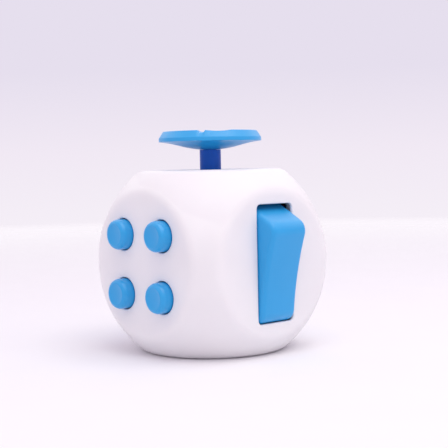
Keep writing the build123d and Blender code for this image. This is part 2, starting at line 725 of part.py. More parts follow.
rim_top = DISC_RADIUS - RIM_LEAN
with BuildPart() as thumb_disc:
    with BuildSketch(Plane.XZ):
        with BuildLine():
            underside = Spline(
                (STEM_RADIUS, hub_bottom),
                (4.4, hub_bottom + 0.4),
                (6.9, hub_bottom + 1.05),
                (DISC_RADIUS, hub_bottom + 1.47),
            )
            rim_foot = Line(underside @ 1, (DISC_RADIUS, hub_bottom + RIM_FOOT))
            rim_slope = Line(rim_foot @ 1, (rim_top, disc_top - RIM_EDGE))
            land = Line((rim_top - RIM_EDGE, disc_top), (DISC_RADIUS - RIM_LAND, disc_top))
            Line(rim_slope @ 1, land @ 0)
            dish = ThreePointArc(
                land @ 1, (5.2, disc_top - 0.62), (RECESS_RADIUS, disc_top - DISC_DISH)
            )
            Polyline(
                dish @ 1,
                (RECESS_RADIUS, hub_top),
                (SPIGOT_RADIUS + AXLE_CLEARANCE, hub_top),
                (SPIGOT_RADIUS + AXLE_CLEARANCE, hub_bottom),
                underside @ 0,
            )
        make_face()
    revolve(axis=Axis.Z)
    # Finger notches across the rim, and a shallow scallop beside each.
    for turn in range(NOTCH_COUNT):
        step = 360 / NOTCH_COUNT * turn
        notch_plane = spoke(NOTCH_START + step + 90)
        with BuildSketch(notch_plane.offset(DISC_RADIUS - CUT_INSET)):
            with Locations((0, disc_top + 0.1)):
                Circle(NOTCH_RADIUS)
        extrude(amount=CUT_LENGTH, mode=Mode.SUBTRACT)
        scallop_plane = spoke(SCALLOP_START + step + 90)
        with BuildSketch(scallop_plane.offset(DISC_RADIUS - CUT_INSET)):
            with Locations((0, disc_top + SCALLOP_RADIUS - SCALLOP_DEPTH)):
                Circle(SCALLOP_RADIUS)
        extrude(amount=CUT_LENGTH, mode=Mode.SUBTRACT)
thumb_disc.part.label = "thumb_disc"
export_step(thumb_disc.part, "parts/thumb_disc.step")

with BuildPart() as disc_screw:
    with BuildSketch(Plane.XY.offset(spigot_top)):
        Circle(DISC_SCREW_HEAD)
    extrude(amount=DISC_SCREW_HEIGHT)
    with BuildSketch(Plane.XY.offset(spigot_top)):
        Circle(LONG_SCREW)
    extrude(amount=-DISC_SCREW_LENGTH)
    with BuildSketch(Plane.XY.offset(spigot_top + DISC_SCREW_HEIGHT)):
        Rectangle(DISC_SCREW_HEAD, LONG_CROSS)
        Rectangle(LONG_CROSS, DISC_SCREW_HEAD)
    extrude(amount=-CROSS_DEPTH, mode=Mode.SUBTRACT)
disc_screw.part.label = "disc_screw"
export_step(disc_screw.part, "parts/disc_screw.step")

cap_bottom = spigot_top + DISC_SCREW_HEIGHT + CAP_GAP
with BuildPart() as disc_cap:
    with BuildSketch(Plane.XY.offset(cap_bottom)):
        Circle(RECESS_RADIUS - CAP_CLEARANCE)
    extrude(amount=disc_top - DISC_DISH - cap_bottom)
disc_cap.part.label = "disc_cap"
export_step(disc_cap.part, "parts/disc_cap.step")

# ================= Dial, -X =================

plate_back = -WALL - DIAL_PLATE_THICKNESS
shaft_end = plate_back - DIAL_SHAFT_END
with BuildPart() as spin_dial:
    with BuildSketch(section(left_face)):
        with BuildLine():
            dial_top = SagittaArc(
                (DIAL_RADIUS - DIAL_BEVEL, DIAL_FACE), (0, DIAL_FACE - DIAL_DISH), 0.1
            )
            Polyline(
                dial_top @ 1,
                (0, shaft_end),
                (DIAL_SHAFT, shaft_end),
                (DIAL_SHAFT, -WALL + DIAL_GAP),
                (DIAL_RADIUS, -WALL + DIAL_GAP),
                (DIAL_RADIUS, DIAL_FACE - DIAL_BEVEL),
                dial_top @ 0,
            )
        make_face()
    revolve(axis=axis_at(left_face))
    # Grip grooves round the rim.
    with BuildSketch(left_face.offset(DIAL_FACE + 0.1)):
        with PolarLocations(DIAL_RADIUS + 0.1, DIAL_GROOVES):
            Circle(DIAL_GROOVE)
    extrude(amount=-DIAL_GROOVE_DEPTH - 0.1, mode=Mode.SUBTRACT)
    # Finger peg, off centre.
    with BuildSketch(left_face):
        with Locations((0, DIAL_PEG_UP)):
            Circle(DIAL_PEG)
    extrude(amount=DIAL_PEG_OUT)
    peg_edge = spin_dial.edges().filter_by(GeomType.CIRCLE).sort_by(Axis.X)[0]
    fillet(peg_edge, DIAL_PEG_ROUND)
    with BuildSketch(left_face.offset(shaft_end)):
        Circle(STEM_BORE)
    extrude(amount=DIAL_BORE_DEPTH, mode=Mode.SUBTRACT)
spin_dial.part.label = "spin_dial"
export_step(spin_dial.part, "parts/spin_dial.step")

with BuildPart() as dial_plate:
    with BuildSketch(left_face.offset(plate_back)):
        Circle(DIAL_PLATE)
        Circle(DIAL_SHAFT + AXLE_CLEARANCE, mode=Mode.SUBTRACT)
    extrude(amount=-WALL - plate_back)
    # Ribs that back on the core frame, above and below the screw.
    with BuildSketch(left_face.offset(CORE_HALF - HALF)):
        with GridLocations(RIB_SPACING, DIAL_RIB_PITCH, 2, 2):
            Rectangle(RIB_THICKNESS, DIAL_RIB_LENGTH)
    extrude(amount=plate_back + HALF - CORE_HALF)
dial_plate.part.label = "dial_plate"
export_step(dial_plate.part, "parts/dial_plate.step")

# A sprung washer, shaped as a shallow cone.
washer_inside = DIAL_SHAFT + 0.1
washer_outside = washer_inside + WASHER_WIDTH
washer_top = plate_back - AXLE_CLEARANCE
with BuildPart() as dial_washer:
    with BuildSketch(section(left_face)):
        with BuildLine():
            Polyline(
                (washer_inside, washer_top - WASHER_RISE),
                (washer_outside, washer_top),
                (washer_outside, washer_top - WASHER_THICKNESS),
                (washer_inside, washer_top - WASHER_RISE - WASHER_THICKNESS),
                close=True,
            )
        make_face()
    revolve(axis=axis_at(left_face))
dial_washer.part.label = "dial_washer"
export_step(dial_washer.part, "parts/dial_washer.step")

with BuildPart() as dial_screw:
    with BuildSketch(left_face.offset(shaft_end)):
        Circle(DIAL_SCREW_HEAD)
    extrude(amount=-DIAL_SCREW_HEIGHT)
    with BuildSketch(left_face.offset(shaft_end)):
        Circle(LONG_SCREW)
    extrude(amount=DIAL_SCREW_LENGTH)
    with BuildSketch(left_face.offset(shaft_end - DIAL_SCREW_HEIGHT)):
        Rectangle(DIAL_SCREW_HEAD, LONG_CROSS)
        Rectangle(LONG_CROSS, DIAL_SCREW_HEAD)
    extrude(amount=CROSS_DEPTH, mode=Mode.SUBTRACT)
dial_screw.part.label = "dial_screw"
export_step(dial_screw.part, "parts/dial_screw.step")

# ================= Rollers and ball, +Y =================

roller_plane = crosswise(back_face, ROLLER_UP, ROLLER_DEPTH)
for number in (1, 2, 3):
    with BuildPart() as roller:
        with BuildSketch(roller_plane.offset((number - 2) * ROLLER_PITCH)):
            Circle(ROLLER_RADIUS)
            with PolarLocations(ROLLER_RADIUS + RIB_GROOVE_OUT, ROLLER_RIBS):
                Circle(RIB_GROOVE, mode=Mode.SUBTRACT)
            Circle(ROLLER_AXLE + AXLE_CLEARANCE, mode=Mode.SUBTRACT)
        extrude(amount=ROLLER_WIDTH / 2, both=True)
    roller.part.label = f"roller_{number}"
    export_step(roller.part, f"parts/roller_{number}.step")

with BuildPart() as roller_axle:
    with BuildSketch(roller_plane):
        Circle(ROLLER_AXLE)
    extrude(amount=ROLLER_AXLE_HALF, both=True)
roller_axle.part.label = "roller_axle"
export_step(roller_axle.part, "parts/roller_axle.step")

ear_front = ROLLER_DEPTH - WALL
tube_inside = BALL_RADIUS + 0.2
with BuildPart() as roller_bracket:
    with BuildSketch(back_face.offset(-ROLLER_PLATE_DEPTH)):
        Rectangle(ROLLER_PLATE_WIDTH, ROLLER_PLATE_HEIGHT)
    extrude(amount=RIB_THICKNESS)
    # Ears with snap-in slots for the axle, closed by the shell's wall.
    for ear_start in (ROLLER_EAR_INSIDE, -ROLLER_AXLE_HALF):
        with BuildSketch(roller_plane.offset(ear_start)):
            with Locations(((ear_front - ROLLER_EAR_BACK) / 2, 0)):
                Rectangle(ear_front + ROLLER_EAR_BACK, ROLLER_EAR_WIDTH)
            Circle(ROLLER_AXLE + COIL_CLEARANCE, mode=Mode.SUBTRACT)
            with Locations((0.5, 0)):
                Rectangle(1.0, 2 * ROLLER_AXLE - SNAP_PINCH, mode=Mode.SUBTRACT)
        extrude(amount=ROLLER_AXLE_HALF - ROLLER_EAR_INSIDE)
    # Guide tube for the ball's seat, closed at the core frame.
    with BuildSketch(back_face.offset(CORE_HALF - HALF)):
        with Locations((0, BALL_UP)):
            Circle(tube_inside + TUBE_WALL)
    extrude(amount=TUBE_HEIGHT)
    with BuildSketch(back_face.offset(CORE_HALF - HALF + TUBE_WALL)):
        with Locations((0, BALL_UP)):
            Circle(tube_inside)
    extrude(amount=TUBE_HEIGHT, mode=Mode.SUBTRACT)
    # Ribs that back on the core frame.
    with BuildSketch(back_face.offset(CORE_HALF - HALF)):
        with Locations((0, -ROLLER_RIB_DOWN)):
            with GridLocations(RIB_SPACING, 0, 2, 1):
                Rectangle(RIB_THICKNESS, ROLLER_RIB_LENGTH)
    extrude(amount=ROLLER_RIB_HEIGHT)
roller_bracket.part.label = "roller_bracket"
export_step(roller_bracket.part, "parts/roller_bracket.step")

ball_centre = back_face.from_local_coords(Vector(0, BALL_UP, -BALL_DEPTH))
with BuildPart() as roll_ball:
    with Locations(ball_centre):
        Sphere(BALL_RADIUS)
roll_ball.part.label = "roll_ball"
export_step(roll_ball.part, "parts/roll_ball.step")

with BuildPart() as ball_seat:
    with BuildSketch(back_face.offset(-SEAT_BOTTOM)):
        with Locations((0, BALL_UP)):
            Circle(BALL_RADIUS + AXLE_CLEARANCE)
    extrude(amount=SEAT_HEIGHT)
    with Locations(ball_centre):
        Sphere(BALL_RADIUS + SEAT_GAP, mode=Mode.SUBTRACT)
ball_seat.part.label = "ball_seat"
export_step(ball_seat.part, "parts/ball_seat.step")

spring_bottom = CORE_HALF - HALF + TUBE_WALL
with BuildPart() as ball_spring:
    with BuildLine():
        turns = coil(
            back_face, 0, BALL_UP, spring_bottom, -SEAT_BOTTOM, BALL_COIL, BALL_WIRE, BALL_TURNS
        )
    with BuildSketch(Plane(origin=turns @ 0, z_dir=turns % 0)):
        Circle(BALL_WIRE / 2)
    sweep(is_frenet=True)
ball_spring.part.label = "ball_spring"
export_step(ball_spring.part, "parts/ball_spring.step")
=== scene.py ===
import json
import math

import bmesh
import bpy
from mathutils import Matrix, Vector


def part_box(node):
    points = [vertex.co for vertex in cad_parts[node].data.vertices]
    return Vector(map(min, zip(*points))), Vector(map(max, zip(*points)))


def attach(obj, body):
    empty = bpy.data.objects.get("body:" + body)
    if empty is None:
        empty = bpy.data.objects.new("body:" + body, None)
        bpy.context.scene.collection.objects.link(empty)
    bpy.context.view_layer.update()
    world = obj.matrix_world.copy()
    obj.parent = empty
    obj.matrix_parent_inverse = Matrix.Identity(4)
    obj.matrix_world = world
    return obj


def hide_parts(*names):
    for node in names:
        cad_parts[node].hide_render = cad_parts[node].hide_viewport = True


# A white fidget cube with blue controls. Metres, +Z up, buttons on -Y, rocker on +X,
# thumb disc on +Z, rollers and ball on +Y, dial on -X.

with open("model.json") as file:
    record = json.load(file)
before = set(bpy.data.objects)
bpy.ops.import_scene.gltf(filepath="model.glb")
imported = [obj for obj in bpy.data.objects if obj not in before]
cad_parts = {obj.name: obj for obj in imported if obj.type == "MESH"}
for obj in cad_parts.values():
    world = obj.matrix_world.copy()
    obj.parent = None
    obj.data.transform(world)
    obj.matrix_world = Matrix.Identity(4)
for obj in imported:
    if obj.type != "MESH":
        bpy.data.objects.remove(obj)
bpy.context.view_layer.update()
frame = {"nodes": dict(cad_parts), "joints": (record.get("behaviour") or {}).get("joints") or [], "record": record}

MM = 0.001


def span(node):
    """A CAD node's lowest and highest corners, in millimetres."""
    low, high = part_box(node)
    return low / MM, high / MM


def pivot(name):
    """The point that a joint's axis runs through, in millimetres."""
    joint = next(joint for joint in frame["joints"] if joint["name"] == name)
    return Vector(joint["pos_m"]) / MM


# ---------------- Sizes, in millimetres ----------------

shell_low, shell_high = span("outer_shell")
HALF = (shell_high.x - shell_low.x) / 2
CENTRE = (shell_low + shell_high) / 2
ROUNDING = 21.05           # radius of the ball that trims the cube's corners
EDGE_SOFTNESS = 2.5        # fillet between each flat and the ball
WALL = 1.8
FLOOR_TOP = 4.6            # inner floor of the shell
GRID = 96                  # cells along each side of the shell's skin
WIDE_TURN = 144            # segments round the wide openings
LIP = 0.22                 # rounding of the mouths in the shell
CUT_DEPTH = 4.0
SKY_GAP = 1.5              # how far the cutters stand out of the shell
CROSS = 0.01               # how far a cutter's lip starts either side of the skin
CREASE = math.radians(38)  # edges sharper than this stay sharp

# ---------------- Materials ----------------


def linear(red, green, blue):
    """Display colour from 0 to 255, as the linear values that the shader works in."""
    def channel(value):
        share = value / 255
        return share / 12.92 if share <= 0.04045 else ((share + 0.055) / 1.055) ** 2.4

    return (channel(red), channel(green), channel(blue), 1.0)


def scaled(colour, factor):
    """The same colour, lighter or darker."""
    return tuple(min(1.0, part * factor) for part in colour[:3]) + (1.0,)


# Cells per metre of each noise.
DRIFT_CELLS = 90.0
RUB_CELLS = 420.0
GRAIN_CELLS = 5200.0
LINE_CELLS = 1500.0
PAPER_CELLS = 60.0
PLASTIC_IOR = 1.49
DRIFT = (0.975, 1.02)      # darkest and lightest share of a plastic's colour
RUB = (-0.05, 0.06)        # least and most that rubbing changes a plastic's roughness
LINES = (0.8, 1.1)         # darkest and lightest share of a steel's colour
LINE_ROUGHNESS = (0.22, 0.42)
LINE_DEPTH = 0.000006


class Look:
    """One material, with its principled shader and short ways to add nodes."""

    def __init__(self, name):
        self.material = bpy.data.materials.new(name)
        self.material.use_nodes = True
        self.nodes = self.material.node_tree.nodes
        self.links = self.material.node_tree.links
        self.shader = self.nodes["Principled BSDF"]
        self.place = self.nodes.new("ShaderNodeTexCoord").outputs["Object"]

    def noise(self, scale, detail=2.0, roughness=0.5, stretch=None):
        """Noise over the piece, with scale in cells per metre."""
        node = self.nodes.new("ShaderNodeTexNoise")
        node.inputs["Scale"].default_value = scale
        node.inputs["Detail"].default_value = detail
        node.inputs["Roughness"].default_value = roughness
        if stretch is None:
            self.links.new(self.place, node.inputs["Vector"])
        else:
            mapping = self.nodes.new("ShaderNodeMapping")
            mapping.inputs["Scale"].default_value = stretch
            self.links.new(self.place, mapping.inputs["Vector"])
            self.links.new(mapping.outputs["Vector"], node.inputs["Vector"])
        return node.outputs["Fac"]

    def spread(self, value, low, high, start=0.3, end=0.7):
        """A value between start and end, stretched to run from low to high."""
        node = self.nodes.new("ShaderNodeMapRange")
        node.inputs["From Min"].default_value = start
        node.inputs["From Max"].default_value = end
        node.inputs["To Min"].default_value = low
        node.inputs["To Max"].default_value = high
        self.links.new(value, node.inputs["Value"])
        return node.outputs["Result"]

    def mix(self, share, first, second):
        """One colour fading to another."""
        node = self.nodes.new("ShaderNodeMix")
        node.data_type = "RGBA"
        for socket, value in (("A", first), ("B", second)):
            target = next(s for s in node.inputs if s.name == socket and s.type == "RGBA")
            if hasattr(value, "is_linked"):
                self.links.new(value, target)
            else:
                target.default_value = value
        factor = next(s for s in node.inputs if s.name == "Factor" and s.type == "VALUE")
        self.links.new(share, factor)
        return next(s for s in node.outputs if s.type == "RGBA")

    def bump(self, height, distance, strength=1.0, under=None):
        """Surface relief, with its depth in metres."""
        node = self.nodes.new("ShaderNodeBump")
        node.inputs["Strength"].default_value = strength
        node.inputs["Distance"].default_value = distance
        self.links.new(height, node.inputs["Height"])
        if under is not None:
            self.links.new(under, node.inputs["Normal"])
        return node.outputs["Normal"]

    def set(self, **values):
        """Constant values on the shader's own sockets."""
        for name, value in values.items():
            self.shader.inputs[name.replace("_", " ")].default_value = value

    def drive(self, socket, value):
        self.links.new(value, self.shader.inputs[socket])


def moulded_plastic(name, colour, roughness, grain_depth, translucency=0.0, sheen=0.5):
    """Satin plastic with the fine grain of a spark-eroded mould and a little colour drift."""
    look = Look(name)
    drift = look.noise(DRIFT_CELLS, detail=3.0)
    darker, lighter = (scaled(colour, share) for share in DRIFT)
    look.drive("Base Color", look.mix(look.spread(drift, 0, 1), darker, lighter))
    grain = look.noise(GRAIN_CELLS, detail=3.0, roughness=0.6)
    rub = look.noise(RUB_CELLS, detail=4.0)
    look.drive("Roughness", look.spread(rub, roughness + RUB[0], roughness + RUB[1]))
    look.drive("Normal", look.bump(grain, grain_depth, under=look.bump(rub, grain_depth * 2, 0.4)))
    look.set(IOR=PLASTIC_IOR, Specular_IOR_Level=sheen)
    if translucency:
        look.set(Subsurface_Weight=translucency, Subsurface_Scale=0.0012)
        look.set(Subsurface_Radius=(1.0, 0.85, 0.9))
    return look.material


def turned_steel(name, colour, stretch):
    """Steel with drawn or turned lines along one direction."""
    look = Look(name)
    lines = look.noise(LINE_CELLS, detail=4.0, roughness=0.7, stretch=stretch)
    darker, lighter = (scaled(colour, share) for share in LINES)
    look.drive("Base Color", look.mix(look.spread(lines, 0, 1), darker, lighter))
    look.drive("Roughness", look.spread(lines, *LINE_ROUGHNESS))
    look.drive("Normal", look.bump(lines, LINE_DEPTH))
    look.set(Metallic=1.0)
    return look.material


WHITE = linear(236, 234, 236)
BLUE = linear(38, 160, 223)
# A darker copy of the blue plastic: painted shade for the stem that stands under the disc.
SHADED_BLUE = linear(5, 94, 194)
INNER = linear(70, 72, 80)
PAPER = linear(245, 245, 246)
STEEL = linear(190, 190, 194)

white_plastic = moulded_plastic("white_plastic", WHITE, 0.46, 0.000008, translucency=0.15)
blue_plastic = moulded_plastic("blue_plastic", BLUE, 0.33, 0.000006, sheen=0.5)
# deep_blue_plastic is the blue plastic darkened, painted shade under the disc, not a second colour.
deep_blue_plastic = moulded_plastic("deep_blue_plastic", SHADED_BLUE, 0.38, 0.000005, sheen=0.25)
inner_plastic = moulded_plastic("inner_plastic", INNER, 0.55, 0.00001)
steel = turned_steel("steel", STEEL, (1, 1, 1))
spring_steel = turned_steel("spring_steel", scaled(STEEL, 0.8), (1, 1, 3))

BY_SLOT = {
    "white_plastic": white_plastic,
    "blue_plastic": blue_plastic,
    "deep_blue_plastic": deep_blue_plastic,
    "inner_plastic": inner_plastic,
    "steel": steel,
    "spring_steel": spring_steel,
}


def dress(piece, material):
    """The piece's one material."""
    piece.data.materials.clear()
    piece.data.materials.append(material)


for row in frame["record"]["subparts"]:
    node = frame["nodes"][row["node"]]
    dress(node, BY_SLOT[row["material_slot"]])

# ---------------- Shapes ----------------


def standing(x_dir, z_dir, origin):
    """The frame of one face: x across it, y up it, z outward."""
    across, outward = Vector(x_dir), Vector(z_dir)
    turn = Matrix((across, outward.cross(across), outward)).transposed()
    return Matrix.Translation(origin) @ turn.to_4x4()


TOP = standing((1, 0, 0), (0, 0, 1), CENTRE + Vector((0, 0, HALF)))
BOTTOM = standing((1, 0, 0), (0, 0, -1), CENTRE - Vector((0, 0, HALF)))
FRONT = standing((1, 0, 0), (0, -1, 0), CENTRE - Vector((0, HALF, 0)))
RIGHT = standing((0, 1, 0), (1, 0, 0), CENTRE + Vector((HALF, 0, 0)))
BACK = standing((-1, 0, 0), (0, 1, 0), CENTRE + Vector((0, HALF, 0)))
LEFT = standing((0, -1, 0), (-1, 0, 0), CENTRE - Vector((HALF, 0, 0)))


def on_face(face, node):
    """A face's frame, shifted to the middle of a node in the face's own plane."""
    low, high = span(node)
    local = face.inverted() @ ((low + high) / 2)
    return face @ Matrix.Translation((local.x, local.y, 0))


def depth_on(face, node):
    """A node's lowest and highest point along a face's outward axis."""
    inward = face.inverted()
    heights = sorted((inward @ corner).z for corner in span(node))
    return heights[0], heights[1]


def bend(corners, steps=6):
    """An open path through (x, y, radius) corners, with an arc at each inner one."""
    path = [Vector(corners[0][:2])]
    for before, corner, after in zip(corners, corners[1:], corners[2:]):
        here = Vector(corner[:2])
        radius = corner[2]
        if radius == 0:
            path.append(here)
            continue
        back = (Vector(before[:2]) - here).normalized()
        on = (Vector(after[:2]) - here).normalized()
        half_angle = back.angle(on) / 2
        middle = here + (back + on).normalized() * radius / math.sin(half_angle)
        start = here + back * radius / math.tan(half_angle) - middle
        turn_left = back.x * on.y - back.y * on.x < 0
        sweep = (math.pi - 2 * half_angle) * (1 if turn_left else -1)
        for step in range(steps + 1):
            path.append(middle + Matrix.Rotation(sweep * step / steps, 2) @ start)
    path.append(Vector(corners[-1][:2]))
    return path


def arc(middle, radius, start, end, steps):
    """Points on a circle between two angles in radians."""
    turns = (start + (end - start) * step / steps for step in range(steps + 1))
    return [Vector((middle[0] + radius * math.cos(t), middle[1] + radius * math.sin(t))) for t in turns]


def skin(shape, rings, looped=False, capped=False):
    """Faces between rings of vertices; a ring of one vertex is a pole."""
    pairs = list(zip(rings, rings[1:]))
    if looped:
        pairs.append((rings[-1], rings[0]))
    count = max(len(ring) for ring in rings)
    for low, high in pairs:
        for step in range(count):
            after = (step + 1) % count
            corners = (low[step % len(low)], low[after % len(low)])
            corners += (high[after % len(high)], high[step % len(high)])
            shape.faces.new(tuple(dict.fromkeys(corners)))
    if capped:
        shape.faces.new(rings[0][::-1])
        shape.faces.new(rings[-1])
    bmesh.ops.recalc_face_normals(shape, faces=shape.faces)


def lathe(profile, segments=96, looped=False, warp=None):
    """A solid turned about z from (radius, height) points, which start and end on the axis
    unless they are looped. warp(radius, height, angle) may move a point in its own plane."""
    shape = bmesh.new()
    rings = []
    for radius, height in profile:
        if radius == 0:
            rings.append([shape.verts.new((0, 0, height))])
            continue
        ring = []
        for step in range(segments):
            angle = 2 * math.pi * step / segments
            out, up = warp(radius, height, angle) if warp else (radius, height)
            ring.append(shape.verts.new((out * math.cos(angle), out * math.sin(angle), up)))
        rings.append(ring)
    skin(shape, rings, looped)
    return shape


def round_rectangle(width, length, corner, grow):
    """The outline of a rectangle with round corners, grown evenly by a distance."""
    half_x, half_y = width / 2 - corner, length / 2 - corner
    outline = []
    for quarter, (side_x, side_y) in enumerate(((1, 1), (-1, 1), (-1, -1), (1, -1))):
        middle = (side_x * half_x, side_y * half_y)
        start = quarter * math.pi / 2
        outline += arc(middle, corner + grow, start, start + math.pi / 2, 8)
    return outline


def mouth(radius):
    """The profile of a cutter for a round mouth with a soft lip."""
    lip = bend([
        (radius + LIP + 2 * CROSS, SKY_GAP, 0),
        (radius + LIP + 2 * CROSS, CROSS, 0),
        (radius, -CROSS, LIP),
        (radius, -CUT_DEPTH, 0),
    ])
    return [(0, SKY_GAP), *lip, (0, -CUT_DEPTH)]


def slot_cutter(width, length, corner, depth):
    """A cutter for an oblong mouth with a soft lip."""
    shape = bmesh.new()
    levels = [(SKY_GAP, LIP + 2 * CROSS), (CROSS, LIP + 2 * CROSS)]
    steps = 6
    for step in range(1, steps + 1):
        turn = step / steps * math.pi / 2
        levels.append((-LIP * (1 - math.cos(turn)), LIP * (1 - math.sin(turn))))
    levels.append((-depth, 0))
    rings = []
    for height, grow in levels:
        outline = round_rectangle(width, length, corner, grow)
        rings.append([shape.verts.new((point.x, point.y, height)) for point in outline])
    skin(shape, rings, capped=True)
    return shape


def block(width, length, low, high):
    """A rectangular cutter between two heights."""
    shape = bmesh.new()
    bmesh.ops.create_cube(shape, size=1.0)
    bmesh.ops.scale(shape, verts=shape.verts, vec=(width, length, high - low))
    bmesh.ops.translate(shape, verts=shape.verts, vec=(0, 0, (low + high) / 2))
    return shape


def ball_cube(half, ball, softness, cells):
    """A cube trimmed by a ball, as one even grid of faces about the origin."""
    shape = bmesh.new()
    side = softness and math.sqrt((ball - softness) ** 2 - (half - softness) ** 2)
    fillet_start = math.atan2(side, half)
    fillet_end = math.atan2(side, half - softness)

    def reach(direction):
        """Distance from the centre to the skin along a unit vector."""
        tilt = math.acos(min(1.0, max(abs(part) for part in direction)))
        if not softness:
            return min(ball, half / math.cos(tilt))
        if tilt <= fillet_start:
            return half / math.cos(tilt)
        if tilt >= fillet_end:
            return ball
        ahead = side * math.sin(tilt) + (half - softness) * math.cos(tilt)
        return ahead + math.sqrt(ahead**2 - (ball - softness) ** 2 + softness**2)

    for axis in range(3):
        for sign in (1, -1):
            grid = []
            for row in range(cells + 1):
                line = []
                for column in range(cells + 1):
                    way = Vector((0, 0, 0))
                    way[axis] = sign
                    way[(axis + 1) % 3] = math.tan((column / cells - 0.5) * math.pi / 2)
                    way[(axis + 2) % 3] = sign * math.tan((row / cells - 0.5) * math.pi / 2)
                    way.normalize()
                    line.append(shape.verts.new(way * reach(way)))
                grid.append(line)
            for low, high in zip(grid, grid[1:]):
                for column in range(cells):
                    shape.faces.new((low[column], low[column + 1], high[column + 1], high[column]))
    bmesh.ops.remove_doubles(shape, verts=shape.verts, dist=1e-4)
    bmesh.ops.recalc_face_normals(shape, faces=shape.faces)
    return shape


def join(shape, other):
    """Adds one shape to another."""
    spare = bpy.data.meshes.new("spare")
    other.to_mesh(spare)
    other.free()
    shape.from_mesh(spare)
    bpy.data.meshes.remove(spare)


def solid(name, shape, place):
    """A Blender object from a shape in millimetres."""
    bmesh.ops.transform(shape, matrix=Matrix.Scale(MM, 4) @ place, verts=shape.verts)
    mesh = bpy.data.meshes.new(name)
    shape.to_mesh(mesh)
    shape.free()
    piece = bpy.data.objects.new(name, mesh)
    bpy.context.scene.collection.objects.link(piece)
    return piece


def carve(piece, cutters):
    """Takes the cutters away from a piece."""
    for cutter in cutters:
        cut = piece.modifiers.new(cutter.name, "BOOLEAN")
        cut.operation = "DIFFERENCE"
        cut.solver = "MANIFOLD"
        cut.object = cutter
    graph = bpy.context.evaluated_depsgraph_get()
    carved = bpy.data.meshes.new_from_object(piece.evaluated_get(graph))
    piece.modifiers.clear()
    piece.data = carved
    for cutter in cutters:
        bpy.data.objects.remove(cutter)


def settle(piece, nodes, body, slot):
    """Smooth shading, the material, and the piece's place in the frame."""
    piece.data.shade_smooth()
    piece.data.set_sharp_from_angle(angle=CREASE)
    dress(piece, BY_SLOT[slot])
    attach(piece, body)
    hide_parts(*nodes)


# ---------------- Shell ----------------

SLOT_WIDTH = 8.6
SLOT_LENGTH = 20.8
SLOT_CORNER = 0.8
SLOT_RELIEF = (9.5, 23.4)
RELIEF_DEPTH = 0.5
BUTTON_HOLE = 2.88
STEM_HOLE = 4.4
STEM_DISH = 7.0
STEM_DISH_DEPTH = 0.5
STEM_DISH_ROUND = 2.0      # blend from the dish to the top
STEM_DISH_FLARE = 0.5
DIAL_HOLE = 7.4
COVER_BORE = 11.2
BORE_DEPTH = 3.4
FRAME_HOLE = 8.4
ROLLER_GAP = 0.2
ROLLER_SLOT = 9.2
BALL_GAP = 0.15
POCKET_CORNER = 0.05
BALL_STEPS = 48
RIM_BREAK = 0.3            # share of the lip that the ball's rim is bevelled by first


def shell():
    """The white cube with a soft-lipped opening for every control."""
    outside = ball_cube(HALF, ROUNDING, EDGE_SOFTNESS, GRID)
    body = solid("shell_moulding", outside, Matrix.Translation(CENTRE))
    cavity = ball_cube(HALF - WALL, ROUNDING - WALL, 0, GRID // 4)
    for corner in cavity.verts:
        corner.co.z = max(corner.co.z, FLOOR_TOP - HALF)
    cutters = [solid("cavity", cavity, Matrix.Translation(CENTRE))]
    for number in range(1, 5):
        place = on_face(FRONT, f"button_cap_{number}")
        cutters.append(solid(f"button_hole_{number}", lathe(mouth(BUTTON_HOLE)), place))
    slot_shape = slot_cutter(SLOT_WIDTH, SLOT_LENGTH, SLOT_CORNER, CUT_DEPTH)
    cutters.append(solid("rocker_slot", slot_shape, RIGHT))
    relief = block(*SLOT_RELIEF, -CUT_DEPTH, -RELIEF_DEPTH)
    cutters.append(solid("rocker_relief", relief, RIGHT))
    dish = bend([
        (STEM_DISH + STEM_DISH_FLARE, SKY_GAP, 0),
        (STEM_DISH + STEM_DISH_FLARE, 1.5 * CROSS, 0),
        (STEM_DISH, -CROSS, STEM_DISH_ROUND),
        (STEM_HOLE, -STEM_DISH_DEPTH, LIP),
        (STEM_HOLE, -CUT_DEPTH, 0),
    ])
    stem_mouth = lathe([(0, SKY_GAP), *dish, (0, -CUT_DEPTH)])
    cutters.append(solid("stem_mouth", stem_mouth, TOP))
    cutters.append(solid("dial_hole", lathe(mouth(DIAL_HOLE), WIDE_TURN), on_face(LEFT, "dial_washer")))
    cutters += roller_and_ball_cutters()
    bore = bend([
        (COVER_BORE + LIP, CROSS, 0),
        (COVER_BORE, -CROSS, LIP),
        (COVER_BORE, -BORE_DEPTH, 0),
    ])
    cover_bore = lathe([(0, SKY_GAP), (COVER_BORE + LIP, SKY_GAP), *bore, (0, -BORE_DEPTH)], WIDE_TURN)
    cutters.append(solid("cover_bore", cover_bore, BOTTOM))
    frame_hole = lathe([(0, 0), (FRAME_HOLE, 0), (FRAME_HOLE, -FLOOR_TOP - 1), (0, -FLOOR_TOP - 1)])
    cutters.append(solid("frame_hole", frame_hole, BOTTOM))
    carve(body, cutters)
    settle(body, ["outer_shell"], "housing", "white_plastic")


